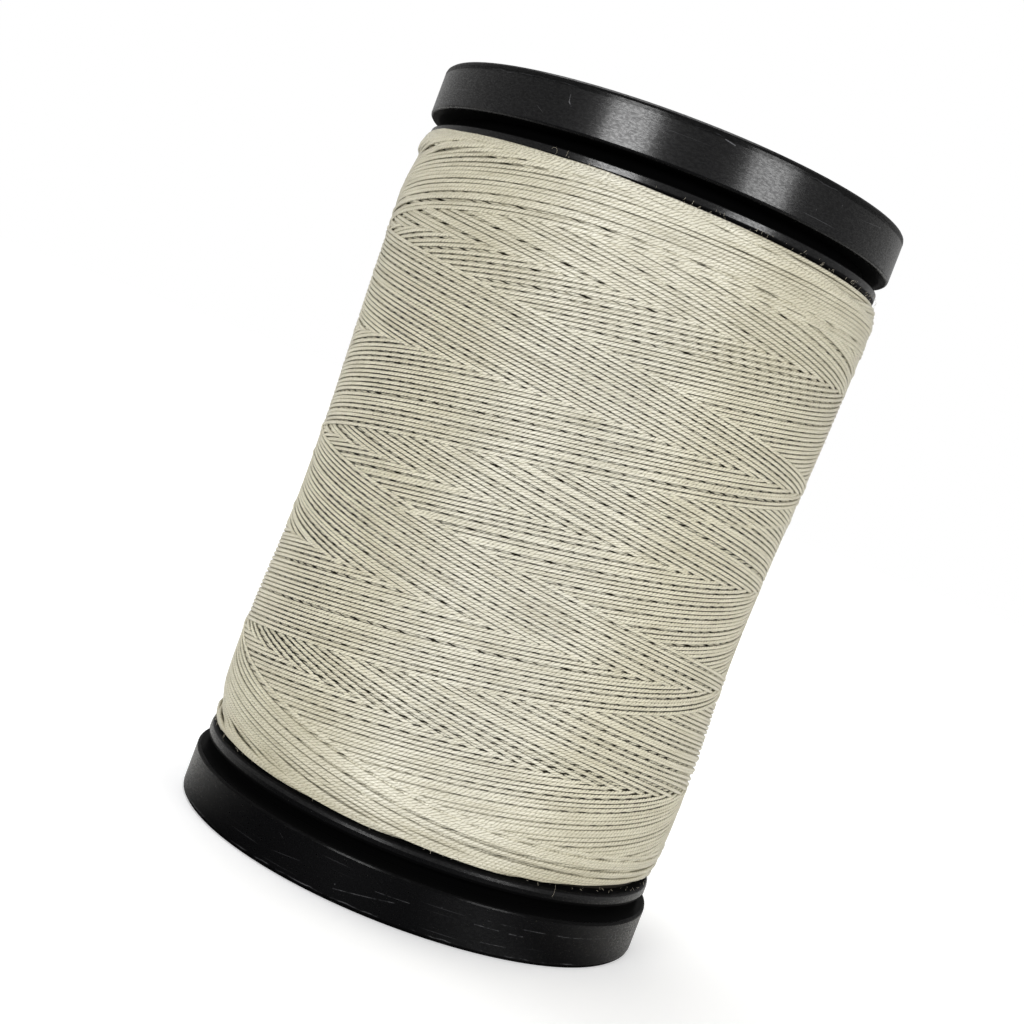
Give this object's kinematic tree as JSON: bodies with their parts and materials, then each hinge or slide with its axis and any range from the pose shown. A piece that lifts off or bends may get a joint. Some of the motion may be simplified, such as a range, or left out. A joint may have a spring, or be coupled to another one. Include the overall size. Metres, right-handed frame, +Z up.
{
  "type": "waxed thread spool",
  "caption": "Upright spool of natural waxed thread, cross-wound in tight bands on a black plastic barrel, with a sliding snap cap at each end that pinches the thread tail.",
  "frame": {"origin": "centre of the flat end ring of the lower snap cap, on which the spool stands", "axes": "+Z up along the spool's axis from the lower cap to the upper cap; +X to the right and +Y to the back"},
  "size_m": [0.0438, 0.0438, 0.068],
  "materials": {
    "black_plastic": "satin moulded black plastic with fine handling scratches round the rims",
    "waxed_thread": "natural ecru plied thread with a dull wax coat"
  },
  "bodies": {
    "bottom_cap": {"bottom_snap_cap": "black_plastic"},
    "spool": {"spool_body": "black_plastic", "thread_pack": "waxed_thread", "thread_outer_layer": "waxed_thread"},
    "top_cap": {"top_snap_cap": "black_plastic"}
  },
  "joints": [
    {"name": "bottom_cap_snap", "type": "slide", "parent": "bottom_cap", "child": "spool", "axis": [0, 0, 1], "range_m": [0, 0.002]},
    {"name": "top_cap_snap", "type": "slide", "parent": "spool", "child": "top_cap", "axis": [0, 0, 1], "range_m": [0, 0.002]}
  ]
}
